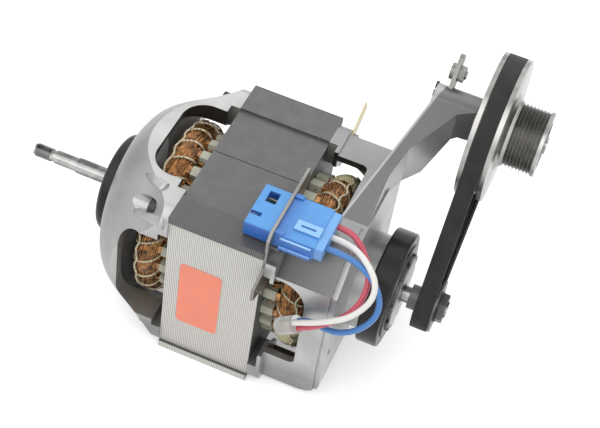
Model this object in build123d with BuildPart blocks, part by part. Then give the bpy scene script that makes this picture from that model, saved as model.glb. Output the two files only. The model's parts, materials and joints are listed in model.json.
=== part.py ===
"""Dryer motor with shaft for a fan, flat belt and double pulley on a cast arm.

Millimetres. X runs along the motor shaft towards the belt, Z points up, -Y is the label side.
The origin is on the shaft axis at the shoulder that the fan seats against.
"""
from build123d import *
from math import atan2, cos, degrees, hypot, pi, radians, sin
import os

# Stator stack
stack_start = 69.5
stack_length = 46.0
stack_width = 97.0
stack_height = 94.0
land_step = 1.5
top_land_back = 18.0
top_land_front = 15.0
side_land = 4.0
seam_width = 0.6
bore_radius = 30.9
air_gap = 0.4
slot_count = 24
slot_width = 5.2
slot_inner = 32.0
slot_depth = 8.4

# Slot liners and windings
liner_gap = 0.1
liner_wall = 0.5
liner_overhang = 5.9
winding_offset = 13.3
winding_radius = 36.5
winding_section = 5.5
copper_wire = 1.2
copper_pitch = 1.75
copper_first_angle = -42.0
copper_turns = 14
wire_gap = 0.15
lace_wire = 1.0
lace_gap = 0.3
lace_loops = 24
lace_first = 0.25
copper_samples = 30
lace_samples = 24

# Rotor and shaft
rotor_fin_length = 6.5
rotor_fin_width = 2.0
rotor_ring_inner = 19.0
rotor_ring_outer = 27.3
rotor_ring_width = 5.0
rotor_fin_count = 12
rotor_fin_share = 0.8
journal_radius = 6.0
core_shaft_radius = 7.5
shaft_radius = 4.0
seat_radius = 3.5
seat_length = 12.1
thread_length = 11.7
thread_pitch = 1.0
thread_depth = 0.6
undercut_length = 1.5
shaft_tip_chamfer = 0.8

# Motor bearings
motor_bearing_outer = 16.0
motor_bearing_width = 10.0
motor_ball_radius = 2.95
motor_ball_count = 7
# Pulley bearings
pulley_bearing_bore = 4.0
pulley_bearing_outer = 11.0
pulley_bearing_width = 7.0
pulley_ball_radius = 2.0
pulley_ball_count = 7
ball_gap = 0.1
land_share = 0.45
cage_inset = 0.4
cage_side_gap = 0.35

# Fan-side shield
wall = 3.5
fan_shield_depth = 39.5
dome_edge_radius = 35.5
dome_shoulder = (30.0, 47.0)
dome_leg = (18.0, 54.0)
dome_stack_radius = 70.0
leg_corner = 9.0
cavity_radius = 45.2
cavity_depth = 22.0
cavity_bulge = 1.2
fan_hub_radius = 20.5
fan_hub_length = 9.6
hub_end_wall = 2.6
shaft_hole_gap = 1.0
bearing_boss_wall = 4.5
washer_width = 1.0
washer_inner = 12.6
side_window_half = 29.0
side_window_depth = 24.0
top_window_half = 25.0
top_window_depth = 22.5
window_corner = 12.0
notch_depth = 4.5
pad_inner_y = 30.0
pad_inner_z = 33.0
fan_ring_radius = 25.0
fan_ring_land = 1.3
ring_setback = 0.6
ring_groove_depth = 1.2
ring_rib_drop = 0.4
ring_groove = 1.0
ring_rib = 1.3

# Belt-side shield
belt_shield_depth = 35.5
front_wall_y = 45.0
back_wall_y = 41.2
deck_drop = 1.5
box_step = 6.4
front_chamfer_y = 14.0
front_chamfer_z = 13.9
skirt_z = -26.0
skirt_lean = 3.0
end_wall = 4.0
end_rounding = 12.0
rim_offset = 3.0
rim_width = 1.2
rim_depth = 0.8
front_window_low = -24.0
front_window_high = 30.0
front_window_depth = 21.5
front_window_corner = 13.0
deck_window_half = 25.2
deck_window_depth = 22.0
deck_window_corner = 3.0
deck_window_over = 5.05
belt_hub_radius = 23.5
belt_hub_length = 7.5
belt_seat_radius = 22.5
belt_seat_length = 11.0
nose_radius = 16.8
nose_length = 2.4
belt_ring_radius = 28.6
belt_ring_width = 10.6
belt_ring_rounding = 1.2
disc_radius = 23.5
disc_width = 0.8
toothed_radius = 19.5
toothed_width = 1.4
toothed_count = 12
tooth_gap_share = 0.7
tooth_depth_share = 0.6
end_hole_radius = 1.8
end_hole_place = (-38.0, -14.0)
end_hole_depth = 6.0

# Tie screws through the stack, placed from its sides and its top
tie_side = 8.5
tie_top = 8.0
tie_radius = 2.0
tie_hole_gap = 0.3
tie_grip = 9.5
tie_head_radius = 3.9
tie_head_height = 3.2
tie_head_gap = 0.5
tie_thread = 5.6
hex_socket = 1.6

# Pulley axis, seen along the shaft
pulley_y = 59.0
pulley_z = 65.6
arm_low_y = -12.0
arm_low_drop = 0.5
arm_thickness = 9.0
arm_root_left = 44.0
arm_root_right = 57.5
arm_mid_right = (28.0, 61.0)
arm_out_left = (50.5, 61.0)
arm_out_right = (50.0, 75.0)
arm_block_radius = 10.6
arm_block_end = 82.8
arm_block_start = 61.0

# Belt and pulleys
belt_start = 180.5
belt_pitch = 1.6
belt_ribs = 5
belt_back = 1.9
belt_rib_height = 1.0
belt_rib_root = 1.3
belt_rib_tip = 0.6
belt_gap = 0.15
groove_gap = 0.12
groove_extra = 0.3
pinion_rim = 11.3
pulley_rim = 32.6
pinion_hub_radius = 6.0
pinion_hub_length = 4.5
pinion_flange_radius = 12.8
pinion_flange_width = 1.0
belt_side_gap = 0.3
pulley_flange_radius = 34.7
pulley_flange_width = 2.2
drum_groove_count = 8
drum_groove_pitch = 1.7
drum_groove_depth = 1.4
drum_radius = 15.8
drum_rim = 1.6
flare_length = 3.0
flare_radius = 19.5
web_inner = 15.0
web_outer = 28.5
web_depth = 6.0
web_draft = 1.0
flare_step = 0.8
bearing_sleeve_wall = 1.2
pulley_bore_step = 9.0
bearing_inset = 0.8
spacer_radius = 6.5
circlip_radius = 5.4
circlip_width = 0.8
circlip_groove = 0.6
axle_overhang = 1.2
nut_flats = 13.0
nut_width = 3.0
washer_radius = 7.6
flat_washer = 0.8
shaft_end_overhang = 0.8

# Lug plate on the arm
lug_start = 66.0
lug_thickness = 2.0
lug_low = 92.4
lug_high = 115.0
lug_width = 9.0
lug_bolt_at = 106.0
lug_bolt_radius = 2.0
lug_head_radius = 4.0
lug_head_height = 2.0
lug_nut_flats = 7.0
lug_nut_width = 3.0
arm_screw_radius = 1.0
arm_screw_head = 1.85
arm_screw_head_height = 1.3
lug_screw_inset = 1.2
arm_screw_count = 2
arm_screw_step = 4.0
arm_screw_bite = 4.0

# Connector and its bracket, with heights below the stack's top
bracket_thickness = 1.4
bracket_rim = 1.5
bracket_back = 0.0
connector_setback = 6.0
connector_width = 26.0
connector_lift = 0.6
connector_height = 8.4
connector_nose = 13.0
connector_middle = 20.0
connector_wall = 1.5
connector_corner = 1.0
socket_depth = 9.5
bracket_gap = 0.1
bracket_cut = (2.0, 3.0)
bracket_edge = 5.0
bracket_ear_out = 16.5
bracket_ear_top = 9.0
bracket_ear_high = 13.0
bracket_ear_low = 20.0
bracket_neck = (7.0, 23.0)
bracket_foot = (3.5, 30.0)
bracket_foot_in = 1.5
bracket_inner = (3.0, 5.0)
bracket_hole = (13.0, 16.5)
bracket_hole_radius = 1.6
pin_pitch = 7.0
pin_inset = 5.5
pin_thickness = 0.8
pin_height = 2.8
pin_length = 8.0
pin_embed = 3.0
cover_length = 4.0
cover_step = 0.6
lead_diameter = 2.8
lead_hole_gap = 0.05
lead_embed = 1.0
rail_height = 1.2
rib_height = 0.9
latch_length = 5.0
latch_width = 7.0
latch_shift = 1.0
key_slot_width = 2.4
key_slot_shift = 2.0
top_rib_length = 12.0
top_rib_width = 6.0
top_rib_inset = 9.0
top_slot_length = 7.0
top_slot_width = 1.2
shoulder_length = 4.0
shoulder_width = 2.4
shoulder_gap = 0.1
rail_margin = 1.0
rail_low = 1.2
rail_high = 1.6
pin_count = 3

# Sleeve where the leads enter the winding
sleeve_mouth = (136.5, -50.6, 12.5)
sleeve_end = (128.3, -48.4, 3.7)
sleeve_radius = 4.3
sleeve_rounding = 0.8
bend_share = 0.45

# Label, earth blade with its place from the stack's side and top
label_start = -15.7
label_end = 5.0
label_low = -23.0
label_high = 18.0
label_thickness = 0.3
label_corner = 2.0
earth_side = 3.8
earth_top = 7.5
earth_blade_width = 6.2
earth_blade_length = 19.0
earth_blade_thickness = 0.8
earth_blade_angle = 27.6
earth_screw_radius = 1.5
earth_head_radius = 2.8
earth_head_height = 2.4
earth_screw_depth = 5.0
earth_hex = 1.2

# The three leads, from the connector to the sleeve
white_route = [
    (138.5, -29.0, 51.8), (145.5, -29.0, 51.8), (152.8, -32.3, 53.2), (159.8, -37.3, 52.6),
    (165.5, -42.3, 49.7), (166.8, -47.2, 44.6), (163.8, -50.8, 38.9), (158.8, -54.2, 34.0),
    (151.2, -55.0, 28.2), (143.5, -54.0, 21.6), (136.47, -51.74, 15.03), (132.78, -50.78, 11.07),
]
red_route = [
    (138.5, -22.0, 51.8), (145.5, -22.0, 51.8), (151.5, -25.5, 50.8), (156.5, -30.0, 48.6),
    (160.3, -35.5, 46.2), (162.3, -41.3, 42.5), (161.5, -46.5, 36.8), (157.5, -50.2, 30.3),
    (151.2, -52.0, 23.6), (144.5, -52.5, 17.5), (139.03, -51.74, 12.65), (135.34, -50.78, 8.69),
]
blue_route = [
    (138.5, -36.0, 51.8), (146.0, -36.0, 51.8), (154.3, -36.8, 51.0), (161.8, -39.0, 48.5),
    (167.7, -42.8, 44.9), (170.7, -46.9, 39.6), (169.1, -50.2, 32.8), (163.4, -52.0, 25.2),
    (156.0, -52.0, 19.3), (149.1, -50.4, 16.6), (142.95, -49.0, 16.3), (138.09, -48.88, 14.21),
    (134.40, -47.92, 10.25),
]

# Places worked out from the sizes above
half_width = stack_width / 2
half_height = stack_height / 2
tie_y = half_width - tie_side
tie_z = half_height - tie_top
earth_y = half_width - earth_side
earth_z = half_height - earth_top
deck_z = half_height - deck_drop
deck_window_reach = deck_z + deck_window_over
arm_low_z = deck_z - arm_low_drop
fan_ring_rim = fan_ring_radius - fan_hub_radius - fan_ring_land
connector_front = -half_width + connector_setback
connector_back = connector_front + connector_width
connector_bottom = half_height + connector_lift
connector_top = connector_bottom + connector_height
pin_first_y = connector_back - pin_inset
top_rib_y = connector_front + top_rib_inset
bracket_top = connector_top + bracket_rim
stack_middle = stack_start + stack_length / 2
stack_end = stack_start + stack_length
slot_middle = slot_inner + slot_depth / 2
liner_width = slot_width - 2 * liner_gap
liner_depth = slot_depth - 2 * liner_gap
bar_width = liner_width - 2 * liner_wall - 2 * liner_gap
bar_depth = liner_depth - 2 * liner_wall - 2 * liner_gap
rotor_radius = bore_radius - air_gap
copper_radius = copper_wire / 2
lace_radius = lace_wire / 2
copper_out = wire_gap + copper_radius
lace_out = wire_gap + copper_wire + lace_gap + lace_radius
fan_face = stack_start - fan_shield_depth
fan_hub_end = fan_face - fan_hub_length
fan_bearing_end = fan_hub_end + hub_end_wall + washer_width
fan_boss_start = fan_bearing_end + motor_bearing_width
end_face = stack_end + belt_shield_depth
belt_hub_end = end_face + belt_hub_length
belt_seat_end = belt_hub_end + belt_seat_length
nose_end = belt_seat_end + nose_length
belt_bearing_end = nose_end - hub_end_wall
belt_bearing_start = belt_bearing_end - motor_bearing_width
shaft_hole = shaft_radius + shaft_hole_gap
belt_width = belt_pitch * belt_ribs
belt_end = belt_start + belt_width
centre_distance = hypot(pulley_y, pulley_z)
pulley_angle = degrees(atan2(pulley_z, pulley_y))
away_y = pulley_y / centre_distance
away_z = pulley_z / centre_distance
pulley_plane = Plane(origin=(0, pulley_y, pulley_z), x_dir=(1, 0, 0), z_dir=(0, 0, 1))
pulley_axis = Axis((0, pulley_y, pulley_z), (1, 0, 0))
pulley_start = belt_start - belt_side_gap - pulley_flange_width
pulley_flange_end = belt_end + belt_side_gap + pulley_flange_width
drum_start = pulley_flange_end + flare_length
drum_end = drum_start + drum_groove_count * drum_groove_pitch + drum_rim
pulley_end = drum_end
first_bearing = pulley_start + bearing_inset
last_bearing = pulley_end - bearing_inset - pulley_bearing_width
pinion_end = belt_end + belt_side_gap + pinion_flange_width
pinion_start = belt_start - belt_side_gap - pinion_hub_length
shaft_end = pinion_end + flat_washer + nut_width + shaft_end_overhang
bracket_end = stack_end + bracket_thickness
wall_front = -half_width + land_step


def turned_round(part):
    """The same piece at the other end of the stack."""
    return part.rotate(Axis((stack_middle, 0, 0), (0, 0, 1)), 180)


def save(piece, name):
    """Label a piece and write it to its own file."""
    piece.part.label = name
    export_step(piece.part, f"parts/{name}.step")


os.makedirs("parts", exist_ok=True)

# Stator stack: a slotted block with raised lands at its corners
with BuildPart() as stator_stack:
    with BuildSketch(Plane.YZ.offset(stack_start)):
        Rectangle(stack_width, stack_height)
        for side in (1, -1):
            with Locations(((top_land_front - top_land_back) / 2, side * half_height)):
                Rectangle(stack_width - top_land_back - top_land_front, 2 * land_step, mode=Mode.SUBTRACT)
            with Locations((side * half_width, 0)):
                Rectangle(2 * land_step, stack_height - 2 * side_land, mode=Mode.SUBTRACT)
            with Locations((0, side * (half_height - land_step))):
                Rectangle(seam_width, seam_width, mode=Mode.SUBTRACT)
        Circle(bore_radius, mode=Mode.SUBTRACT)
        with PolarLocations(slot_middle, slot_count):
            Rectangle(slot_depth, slot_width, mode=Mode.SUBTRACT)
        with GridLocations(2 * tie_y, 2 * tie_z, 2, 2):
            Circle(tie_radius + tie_hole_gap, mode=Mode.SUBTRACT)
    extrude(amount=stack_length)
save(stator_stack, "stator_stack")

# Slot liners: folded paper tubes that stand out at both ends of each slot
with BuildPart() as slot_liners:
    with BuildSketch(Plane.YZ.offset(stack_start - liner_overhang)):
        with PolarLocations(slot_middle, slot_count):
            Rectangle(liner_depth, liner_width)
            Rectangle(liner_depth - 2 * liner_wall, liner_width - 2 * liner_wall, mode=Mode.SUBTRACT)
    extrude(amount=stack_length + 2 * liner_overhang)
save(slot_liners, "slot_liners")


def winding_point(angle, around, out):
    """A point just outside the belt-side winding's section."""
    along = stack_end + winding_offset + (winding_section + out) * sin(angle)
    radius = winding_radius + (winding_section + out) * cos(angle)
    return Vector(along, radius * cos(around), radius * sin(around))


def biarc(start, start_way, end, end_way):
    """Two arcs that leave one point and reach the next along the given directions."""
    chord = end - start
    ways = start_way + end_way
    squared = 2 * (1 - start_way.dot(end_way))
    linear = 2 * chord.dot(ways)
    reach = (-linear + (linear**2 + 4 * squared * chord.dot(chord)) ** 0.5) / (2 * squared)
    first = start + start_way * reach
    last = end - end_way * reach
    middle = (first + last) * 0.5
    return middle, (last - first).normalized()


def wound_wire(point_at, stops, lead_in):
    """A wire through the points of a curve, as arcs, with a straight lead at both ends."""
    step = 1e-4
    points = [point_at(s) for s in stops]
    ways = [(point_at(s + step) - point_at(s - step)).normalized() for s in stops]
    with BuildLine() as wire:
        Line(points[0] - ways[0] * lead_in, points[0])
        for start, way, end, end_way in zip(points, ways, points[1:], ways[1:]):
            middle, middle_way = biarc(start, way, end, end_way)
            TangentArc(start, middle, tangent=way)
            TangentArc(middle, end, tangent=middle_way)
        Line(points[-1], points[-1] + ways[-1] * lead_in)
    return wire.wires()[0]


def least_gap(point_at, first, last, per_turn, wire):
    """Smallest clear distance between a wound wire and itself, measured on points."""
    count = int((last - first) * per_turn)
    points = [point_at(first + (last - first) * i / count) for i in range(count + 1)]
    near = per_turn // 3
    return min(
        (points[i] - points[j]).length for i in range(len(points)) for j in range(i + near, len(points))
    ) - wire


def copper_at(turn):
    """The copper wire's centre after a number of turns round the shaft."""
    angle = radians(copper_first_angle) + turn * copper_pitch / (winding_section + copper_out)
    return winding_point(angle, 2 * pi * turn, copper_out)


def lace_at(loop):
    """The lacing cord's centre after a number of loops round the winding."""
    around = 2 * pi * (loop + lace_first) / lace_loops
    return winding_point(2 * pi * loop, around + pi / slot_count, lace_out)


copper_stops = [i / 2 for i in range(2 * copper_turns + 1)]
lace_stops = [i / 2 for i in range(2 * (lace_loops - 1) + 1)]
copper_clear = least_gap(copper_at, 0, copper_turns, copper_samples, copper_wire)
lace_clear = least_gap(lace_at, 0, lace_loops - 1, lace_samples, lace_wire)
print(f"copper wire least gap {copper_clear:.2f}, lacing least gap {lace_clear:.2f}")

# End windings: a plain core with its bars in the slots, one outer layer of wire, and lacing
with BuildPart() as belt_side_winding_core:
    with BuildSketch(Plane.XY):
        with Locations((stack_end + winding_offset, winding_radius)):
            Circle(winding_section)
    revolve(axis=Axis.X)
    with BuildSketch(Plane.YZ.offset(stack_middle + wire_gap)):
        with PolarLocations(slot_middle, slot_count):
            Rectangle(bar_depth, bar_width)
    extrude(amount=stack_length / 2 + winding_offset - wire_gap)
save(belt_side_winding_core, "belt_side_winding_core")
with BuildPart() as fan_side_winding_core:
    add(turned_round(belt_side_winding_core.part))
save(fan_side_winding_core, "fan_side_winding_core")

copper_path = wound_wire(copper_at, copper_stops, copper_wire)
with BuildPart() as belt_side_winding:
    with BuildSketch(Plane(copper_path @ 0, z_dir=copper_path % 0)):
        Circle(copper_radius)
    sweep(path=copper_path)
save(belt_side_winding, "belt_side_winding")
with BuildPart() as fan_side_winding:
    add(turned_round(belt_side_winding.part))
save(fan_side_winding, "fan_side_winding")

lace_path = wound_wire(lace_at, lace_stops, lace_wire)
with BuildPart() as belt_side_lacing:
    with BuildSketch(Plane(lace_path @ 0, z_dir=lace_path % 0)):
        Circle(lace_radius)
    sweep(path=lace_path)
save(belt_side_lacing, "belt_side_lacing")
with BuildPart() as fan_side_lacing:
    add(turned_round(belt_side_lacing.part))
save(fan_side_lacing, "fan_side_lacing")

# Fan-side shield: a dome cut to the stack's outline, with four windows and a bearing hub
cavity_end = stack_start - cavity_depth
inner_face = fan_face + wall
cavity_middle_x = (inner_face + cavity_end) / 2
cavity_middle_radius = (dome_edge_radius - wall + cavity_radius) / 2
with BuildPart() as fan_end_shield:
    with BuildSketch(Plane.XY):
        with BuildLine():
            outside = Spline(
                (stack_start, dome_stack_radius),
                (stack_start - dome_leg[0], dome_leg[1]),
                (stack_start - dome_shoulder[0], dome_shoulder[1]),
                (fan_face, dome_edge_radius),
            )
            Polyline(
                outside @ 1,
                (fan_face, fan_hub_radius),
                (fan_hub_end, fan_hub_radius),
                (fan_hub_end, shaft_hole),
                (fan_hub_end + hub_end_wall, shaft_hole),
                (fan_hub_end + hub_end_wall, motor_bearing_outer),
                (fan_boss_start, motor_bearing_outer),
                (fan_boss_start, motor_bearing_outer + bearing_boss_wall),
                (inner_face, motor_bearing_outer + bearing_boss_wall),
                (inner_face, dome_edge_radius - wall),
            )
            inside = ThreePointArc(
                (inner_face, dome_edge_radius - wall),
                (cavity_middle_x - cavity_bulge, cavity_middle_radius + cavity_bulge),
                (cavity_end, cavity_radius),
            )
            Polyline(inside @ 1, (stack_start, cavity_radius), outside @ 0)
        make_face()
    revolve(axis=Axis.X)
    with BuildSketch(Plane.YZ.offset(fan_hub_end)):
        RectangleRounded(stack_width, stack_height, leg_corner)
    extrude(amount=stack_start - fan_hub_end, mode=Mode.INTERSECT)
    for plane, half, depth in (
        (Plane.XZ, side_window_half, side_window_depth),
        (Plane.XY, top_window_half, top_window_depth),
    ):
        with BuildSketch(plane):
            with Locations((stack_start, 0)):
                RectangleRounded(2 * depth, 2 * half, window_corner)
        extrude(amount=stack_width, both=True, mode=Mode.SUBTRACT)
    with BuildSketch(Plane.YZ.offset(stack_start)):
        Rectangle(2 * pad_inner_y, 2 * stack_height)
        Rectangle(2 * stack_width, 2 * pad_inner_z)
    extrude(amount=-notch_depth, mode=Mode.SUBTRACT)
    with BuildSketch(Plane.YZ.offset(stack_start)):
        with GridLocations(2 * tie_y, 2 * tie_z, 2, 2):
            Circle(tie_radius + tie_hole_gap)
    extrude(amount=-tie_grip, mode=Mode.SUBTRACT)
    with BuildSketch(Plane.YZ.offset(stack_start - tie_grip)):
        with GridLocations(2 * tie_y, 2 * tie_z, 2, 2):
            Circle(tie_head_radius + tie_head_gap)
    extrude(amount=-stack_length, mode=Mode.SUBTRACT)
save(fan_end_shield, "fan_end_shield")

# Rubber ring on the fan-side hub: a wide band with a round rim, then two narrow ribs
ring_start = fan_hub_end + ring_setback
ring_low = fan_ring_radius - ring_groove_depth
rib_radius = fan_ring_radius - ring_rib_drop
with BuildPart() as fan_side_mount_ring:
    with BuildSketch(Plane.XY):
        with BuildLine():
            Polyline(
                (fan_face, fan_hub_radius),
                (fan_face, ring_low),
                (fan_face - ring_groove, ring_low),
                (fan_face - ring_groove, rib_radius),
                (fan_face - ring_groove - ring_rib, rib_radius),
                (fan_face - ring_groove - ring_rib, ring_low),
                (fan_face - 2 * ring_groove - ring_rib, ring_low),
                (fan_face - 2 * ring_groove - ring_rib, fan_ring_radius),
                (ring_start + fan_ring_rim, fan_ring_radius),
            )
            rim = RadiusArc(
                (ring_start + fan_ring_rim, fan_ring_radius),
                (ring_start, fan_ring_radius - fan_ring_rim),
                -fan_ring_rim,
            )
            Polyline(rim @ 1, (ring_start, fan_hub_radius), (fan_face, fan_hub_radius))
        make_face()
    revolve(axis=Axis.X)
save(fan_side_mount_ring, "fan_side_mount_ring")

# Belt-side shield with the arm: a box casting on four corner pads
box_start = stack_end + box_step
box_inner_end = end_face - end_wall
corner_z = deck_z - front_chamfer_z
box_outline = [
    (-front_wall_y, corner_z),
    (-front_wall_y + front_chamfer_y, deck_z),
    (back_wall_y, deck_z),
    (back_wall_y, -deck_z),
    (-front_wall_y + skirt_lean, -deck_z),
    (-front_wall_y, skirt_z),
]
arm_rise = atan2(pulley_z - arm_low_z, pulley_y - arm_low_y)
arm_top_start = Vector(arm_low_y, arm_low_z)
block_edge = Vector(pulley_y, pulley_z) + Vector(-sin(arm_rise), cos(arm_rise)) * arm_block_radius
block_low = block_edge + Vector(sin(arm_rise), -cos(arm_rise)) * arm_thickness
arm_low_back = Vector(back_wall_y - wall, deck_z - wall)
arm_plan = [
    (stack_middle + arm_root_left, arm_low_y),
    (stack_middle + arm_root_right, arm_low_y),
    (stack_middle + arm_root_right, arm_mid_right[0] - front_chamfer_y),
    (stack_middle + arm_mid_right[1], arm_mid_right[0]),
    (stack_middle + arm_out_right[1], arm_out_right[0]),
    (stack_middle + arm_block_end, pulley_y - arm_block_radius / 2),
    (stack_middle + arm_block_end, pulley_y + 2 * arm_block_radius),
    (stack_middle + arm_block_start, pulley_y + 2 * arm_block_radius),
    (stack_middle + arm_out_left[1], arm_out_left[0]),
]
lug_place = stack_middle + lug_start
with BuildPart() as arm:
    with BuildSketch(Plane.YZ.offset(stack_middle)):
        with BuildLine():
            Polyline(
                arm_top_start,
                block_edge,
                block_low,
                arm_low_back,
                (arm_low_y, arm_low_back.Y),
                close=True,
            )
        make_face()
        with Locations((pulley_y, pulley_z)):
            Circle(arm_block_radius)
    extrude(amount=2 * stack_length)
    with BuildSketch(Plane.XY):
        with BuildLine():
            Polyline(*arm_plan, close=True)
        make_face()
    extrude(amount=2 * stack_height, mode=Mode.INTERSECT)

with BuildPart() as belt_end_shield:
    # Box section with its lower end rounded, on a flange with solid corners
    with BuildSketch(Plane.YZ.offset(box_start)):
        with BuildLine():
            Polyline(*box_outline, close=True)
        make_face()
    extrude(amount=end_face - box_start)
    lower_end = belt_end_shield.edges().filter_by(Axis.Y).group_by(Axis.Z)[0].sort_by(Axis.X)[-1]
    fillet(lower_end, end_rounding)
    with BuildSketch(Plane.YZ.offset(stack_end)):
        RectangleRounded(stack_width, stack_height, leg_corner)
    extrude(amount=box_step)
    # Groove round the box near its end, then the arm's root on the deck
    with BuildSketch(Plane.YZ.offset(end_face - rim_offset)):
        with BuildLine():
            Polyline(*box_outline, close=True)
        make_face()
        offset(amount=rim_depth, kind=Kind.INTERSECTION)
        with BuildLine():
            Polyline(*box_outline, close=True)
        core_face = make_face(mode=Mode.PRIVATE)
        offset(core_face, amount=-rim_depth, kind=Kind.INTERSECTION, mode=Mode.SUBTRACT)
    extrude(amount=rim_width, mode=Mode.SUBTRACT)
    add(arm.part)
    # Hub, ring seat and nose
    for start, end, radius in (
        (end_face, belt_hub_end, belt_hub_radius),
        (belt_hub_end, belt_seat_end, belt_seat_radius),
        (belt_seat_end, nose_end, nose_radius),
    ):
        with BuildSketch(Plane.YZ.offset(start)):
            Circle(radius)
        extrude(amount=end - start)
    # Hollow inside: round where the winding stands, box-shaped beyond the flange, then the bearing seat
    with BuildSketch(Plane.YZ.offset(stack_end)):
        Circle(cavity_radius)
    extrude(amount=front_window_depth, mode=Mode.SUBTRACT)
    with BuildSketch(Plane.YZ.offset(box_start)):
        with BuildLine():
            Polyline(*box_outline, close=True)
        make_face()
        offset(amount=-wall, kind=Kind.INTERSECTION)
    extrude(amount=box_inner_end - box_start, mode=Mode.SUBTRACT)
    with BuildSketch(Plane.YZ.offset(box_inner_end)):
        Circle(motor_bearing_outer)
    extrude(amount=belt_bearing_end - box_inner_end, mode=Mode.SUBTRACT)
    with BuildSketch(Plane.YZ.offset(belt_bearing_end)):
        Circle(shaft_hole)
    extrude(amount=hub_end_wall, mode=Mode.SUBTRACT)
    # Windows in the front and back walls, and in the deck and floor
    window_middle = (front_window_high + front_window_low) / 2
    window_height = front_window_high - front_window_low
    with BuildSketch(Plane.XZ):
        with Locations((stack_end, window_middle)):
            RectangleRounded(2 * front_window_depth, window_height, front_window_corner)
        with Locations((stack_end, window_middle - window_height / 4)):
            RectangleRounded(2 * front_window_depth, window_height / 2, deck_window_corner)
    extrude(amount=stack_width, both=True, mode=Mode.SUBTRACT)
    with BuildSketch(Plane.XY):
        with Locations((stack_end, 0)):
            RectangleRounded(2 * deck_window_depth, 2 * deck_window_half, deck_window_corner)
    extrude(amount=deck_window_reach, both=True, mode=Mode.SUBTRACT)
    # Steps beside the corner pads, the bracket's seat and the screw holes
    with BuildSketch(Plane.YZ.offset(stack_end)):
        Rectangle(2 * pad_inner_y, stack_height + wall)
        Rectangle(stack_width + wall, 2 * pad_inner_z)
    extrude(amount=notch_depth, mode=Mode.SUBTRACT)
    with BuildSketch(Plane.YZ.offset(stack_end)):
        with Locations((-half_width, half_height)):
            Rectangle(half_width, half_height)
    extrude(amount=bracket_thickness, mode=Mode.SUBTRACT)
    with BuildSketch(Plane.YZ.offset(stack_end)):
        with GridLocations(2 * tie_y, 2 * tie_z, 2, 2):
            Circle(tie_radius)
    extrude(amount=tie_thread, mode=Mode.SUBTRACT)
    with BuildSketch(Plane.YZ.offset(box_start)):
        with Locations((earth_y, earth_z)):
            Circle(earth_screw_radius)
    extrude(amount=-earth_screw_depth, mode=Mode.SUBTRACT)
    with BuildSketch(Plane.YZ.offset(end_face)):
        with Locations(end_hole_place):
            Circle(end_hole_radius)
    extrude(amount=-end_hole_depth, mode=Mode.SUBTRACT)
    # Slot for the lug plate, holes for its two screws, bore for the pulley's axle
    with BuildSketch(Plane.YZ.offset(lug_place)):
        with Locations(Location((lug_low * away_y, lug_low * away_z), pulley_angle)):
            Rectangle(2 * lug_high, lug_width, align=(Align.MIN, Align.CENTER))
    extrude(amount=lug_thickness, mode=Mode.SUBTRACT)
    with BuildSketch(Plane.YZ.offset(stack_middle + arm_block_start)):
        for i in range(arm_screw_count):
            reach = lug_low + lug_screw_inset + i * arm_screw_step
            with Locations((reach * away_y, reach * away_z)):
                Circle(arm_screw_radius)
    extrude(amount=lug_start - arm_block_start + lug_thickness + arm_screw_bite, mode=Mode.SUBTRACT)
    with BuildSketch(Plane.YZ.offset(stack_middle)):
        with Locations((pulley_y, pulley_z)):
            Circle(pulley_bearing_bore)
    extrude(amount=2 * stack_length, mode=Mode.SUBTRACT)
save(belt_end_shield, "belt_end_shield")

# Rubber ring on the belt-side hub, the disc behind it and the toothed ring on the hub's nose
ring_wall_start = belt_seat_end - belt_ring_width
with BuildPart() as belt_side_mount_ring:
    with BuildSketch(Plane.XY):
        with BuildLine():
            Polyline(
                (ring_wall_start, belt_seat_radius),
                (belt_seat_end, belt_seat_radius),
                (belt_seat_end, belt_ring_radius),
                (ring_wall_start, belt_ring_radius),
                close=True,
            )
        make_face()
    revolve(axis=Axis.X)
    outer_edges = belt_side_mount_ring.edges().filter_by(GeomType.CIRCLE).sort_by(SortBy.RADIUS)[-2:]
    fillet(outer_edges, belt_ring_rounding)
save(belt_side_mount_ring, "belt_side_mount_ring")

with BuildPart() as ring_retainer_disc:
    with BuildSketch(Plane.YZ.offset(belt_seat_end)):
        Circle(disc_radius)
        Circle(nose_radius, mode=Mode.SUBTRACT)
    extrude(amount=disc_width)
save(ring_retainer_disc, "ring_retainer_disc")

tooth_gap = pi * toothed_radius / toothed_count * tooth_gap_share
with BuildPart() as toothed_lock_ring:
    with BuildSketch(Plane.YZ.offset(belt_seat_end + disc_width)):
        Circle(toothed_radius)
        Circle(nose_radius, mode=Mode.SUBTRACT)
        with PolarLocations(toothed_radius, toothed_count):
            Rectangle(2 * (toothed_radius - nose_radius) * tooth_depth_share, tooth_gap, mode=Mode.SUBTRACT)
    extrude(amount=toothed_width)
save(toothed_lock_ring, "toothed_lock_ring")

# Tie screws: heads in the fan-side legs, threads in the belt-side pads
head_start = stack_start - tie_grip - tie_head_height
with BuildPart() as tie_screws:
    with BuildSketch(Plane.YZ.offset(head_start)):
        with GridLocations(2 * tie_y, 2 * tie_z, 2, 2):
            Circle(tie_head_radius)
    extrude(amount=tie_head_height)
    with BuildSketch(Plane.YZ.offset(head_start)):
        with GridLocations(2 * tie_y, 2 * tie_z, 2, 2):
            RegularPolygon(hex_socket, 6)
    extrude(amount=tie_head_height / 2, mode=Mode.SUBTRACT)
    with BuildSketch(Plane.YZ.offset(head_start + tie_head_height)):
        with GridLocations(2 * tie_y, 2 * tie_z, 2, 2):
            Circle(tie_radius)
    extrude(amount=tie_grip + stack_length + tie_thread)
save(tie_screws, "tie_screws")


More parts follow.
